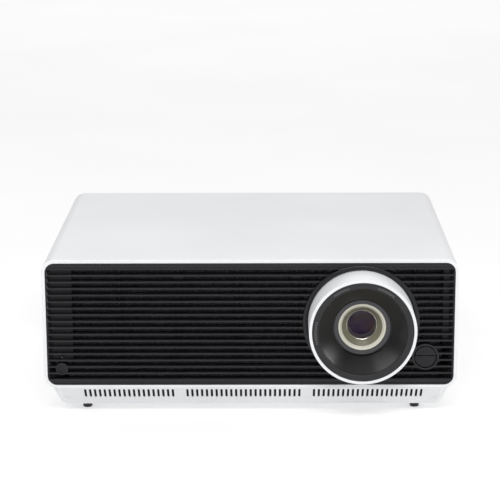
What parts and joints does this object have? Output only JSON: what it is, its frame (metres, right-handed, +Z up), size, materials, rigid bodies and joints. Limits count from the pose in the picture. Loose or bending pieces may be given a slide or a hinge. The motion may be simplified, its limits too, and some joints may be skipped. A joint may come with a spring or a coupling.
{
  "type": "home projector",
  "caption": "Boxy projector with a louvred front, a proud round lens collar, a slotted lower tray and small feet; lens shifts and focuses, fans and wheel spin.",
  "frame": {"origin": "middle of the overall width and depth, on the surface the feet stand on", "axes": "+X to the right seen from in front of the lens, +Y from the lens to the rear, +Z up"},
  "size_m": [0.37, 0.323, 0.147],
  "materials": {
    "white_shell": "fine satin texture",
    "grille_black": "moulded satin black",
    "bell_black": "satin black",
    "barrel_black": "satin black anodised",
    "control_black": "satin black",
    "cone_pale": "pale satin",
    "baffle_dark": "dark ribbed",
    "coated_glass": "coated",
    "prism_glass": "clear",
    "filter_foam": "open-cell foam",
    "foot_rubber": "moulded",
    "foot_plastic": "moulded",
    "screw_steel": "zinc plated",
    "rod_steel": "ground",
    "sheet_steel": "galvanised sheet",
    "insert_brass": "turned",
    "gear_nylon": "natural nylon",
    "cast_metal": "die cast",
    "sink_aluminium": "extruded",
    "laser_block": "anodised",
    "pipe_copper": "bare copper",
    "fan_black": "moulded",
    "board_green": "solder resist",
    "panel_dark": "moulded satin black",
    "socket_nickel": "nickel plated",
    "jack_plastic": "moulded",
    "supply_steel": "galvanised sheet",
    "motor_steel": "drawn can",
    "wheel_coating": "phosphor ring on polished disc",
    "tunnel_mirror": "mirror glass",
    "speaker_black": "pressed basket",
    "cone_paper": "pressed paper",
    "light_dark": "smoked light guide"
  },
  "bodies": {
    "casing": {"upper_cover": "white_shell", "base_tray": "white_shell", "lens_collar": "white_shell", "front_grille": "grille_black", "lens_trim_ring": "grille_black", "dial_surround": "grille_black", "button_bezel": "grille_black", "lens_bell": "bell_black", "prism_block": "prism_glass", "air_filter": "filter_foam", "foot_pads": "foot_rubber", "rear_foot_studs": "foot_plastic", "machine_screws": "screw_steel", "collar_screws": "screw_steel", "guide_rods": "rod_steel", "chassis_plate": "sheet_steel", "fan_bracket": "sheet_steel", "wheel_bracket": "sheet_steel", "mount_inserts": "insert_brass", "lens_frame": "cast_metal", "engine_housing": "cast_metal", "engine_lid": "cast_metal", "laser_heatsink": "sink_aluminium", "chip_heatsink": "sink_aluminium", "laser_module": "laser_block", "heat_pipes": "pipe_copper", "fan_frames": "fan_black", "main_board": "board_green", "button_board": "board_green", "chip_board": "board_green", "rear_panel": "panel_dark", "hdmi_sockets": "socket_nickel", "usb_socket": "socket_nickel", "lan_socket": "socket_nickel", "audio_jacks": "jack_plastic", "ac_inlet": "jack_plastic", "power_supply": "supply_steel", "wheel_motor": "motor_steel", "light_tunnel": "tunnel_mirror", "speaker_frame": "speaker_black", "speaker_cone": "cone_paper", "status_light": "light_dark"},
    "lens_carriage": {"shift_carriage": "cast_metal", "lens_barrel": "barrel_black", "focus_motor": "motor_steel"},
    "focus_ring": {"focus_ring": "gear_nylon"},
    "focus_pinion": {"focus_pinion": "gear_nylon"},
    "focus_unit": {"focus_cell": "baffle_dark", "cone_baffle": "cone_pale", "front_lens": "coated_glass", "inner_baffle": "baffle_dark", "inner_lenses": "coated_glass"},
    "shift_dial": {"shift_dial": "control_black"},
    "shift_idler": {"shift_idler": "gear_nylon"},
    "power_button": {"power_button": "control_black"},
    "left_fan_rotor": {"left_fan_rotor": "fan_black"},
    "right_fan_rotor": {"right_fan_rotor": "fan_black"},
    "phosphor_wheel": {"phosphor_wheel": "wheel_coating"},
    "left_foot": {"left_foot_screw": "foot_plastic"},
    "right_foot": {"right_foot_screw": "foot_plastic"}
  },
  "joints": [
    {"name": "lens_shift", "type": "slide", "parent": "casing", "child": "lens_carriage", "axis": [0, 0, 1], "range_m": [-0.003, 0.003]},
    {"name": "shift_idler_turn", "type": "hinge", "parent": "casing", "child": "shift_idler", "pos_m": [0.1565, -0.112, 0.0763], "axis": [0, 1, 0], "range_deg": [-32, 32]},
    {"name": "shift_dial_turn", "type": "hinge", "parent": "casing", "child": "shift_dial", "pos_m": [0.1565, -0.1285, 0.0574], "axis": [0, 1, 0], "range_deg": [-80, 80]},
    {"name": "focus_slide", "type": "slide", "parent": "lens_carriage", "child": "focus_unit", "axis": [0, 1, 0], "range_m": [-0.0015, 0.0015]},
    {"name": "focus_ring_turn", "type": "hinge", "parent": "lens_carriage", "child": "focus_ring", "pos_m": [0.0989, -0.112, 0.0894], "axis": [0, 1, 0], "range_deg": [-46, 46]},
    {"name": "focus_pinion_turn", "type": "hinge", "parent": "lens_carriage", "child": "focus_pinion", "pos_m": [0.07118, -0.112, 0.11712], "axis": [0, 1, 0], "range_deg": [-204, 204]},
    {"name": "power_button_press", "type": "slide", "parent": "casing", "child": "power_button", "axis": [0, 1, 0], "range_m": [0, 0.001], "stiffness_N_per_m": 800},
    {"name": "left_fan_spin", "type": "hinge", "parent": "casing", "child": "left_fan_rotor", "pos_m": [-0.118, -0.0985, 0.084], "axis": [0, 1, 0], "continuous": true},
    {"name": "right_fan_spin", "type": "hinge", "parent": "casing", "child": "right_fan_rotor", "pos_m": [-0.022, -0.0985, 0.084], "axis": [0, 1, 0], "continuous": true},
    {"name": "phosphor_wheel_spin", "type": "hinge", "parent": "casing", "child": "phosphor_wheel", "pos_m": [0.0389, 0.008, 0.0694], "axis": [1, 0, 0], "continuous": true},
    {"name": "left_foot_turn", "type": "hinge", "parent": "casing", "child": "left_foot", "pos_m": [-0.1502, -0.093, 0.003], "axis": [0, 0, 1], "range_deg": [-1440, 0]},
    {"name": "right_foot_turn", "type": "hinge", "parent": "casing", "child": "right_foot", "pos_m": [0.1502, -0.093, 0.003], "axis": [0, 0, 1], "range_deg": [-1440, 0]}
  ],
  "couplings": [
    {"joint": "shift_idler_turn", "follows": "lens_shift", "rad_per_m": 185.19},
    {"joint": "shift_dial_turn", "follows": "lens_shift", "rad_per_m": -462.96},
    {"joint": "focus_ring_turn", "follows": "focus_slide", "rad_per_m": 523.6},
    {"joint": "focus_pinion_turn", "follows": "focus_slide", "rad_per_m": -2327.1}
  ]
}
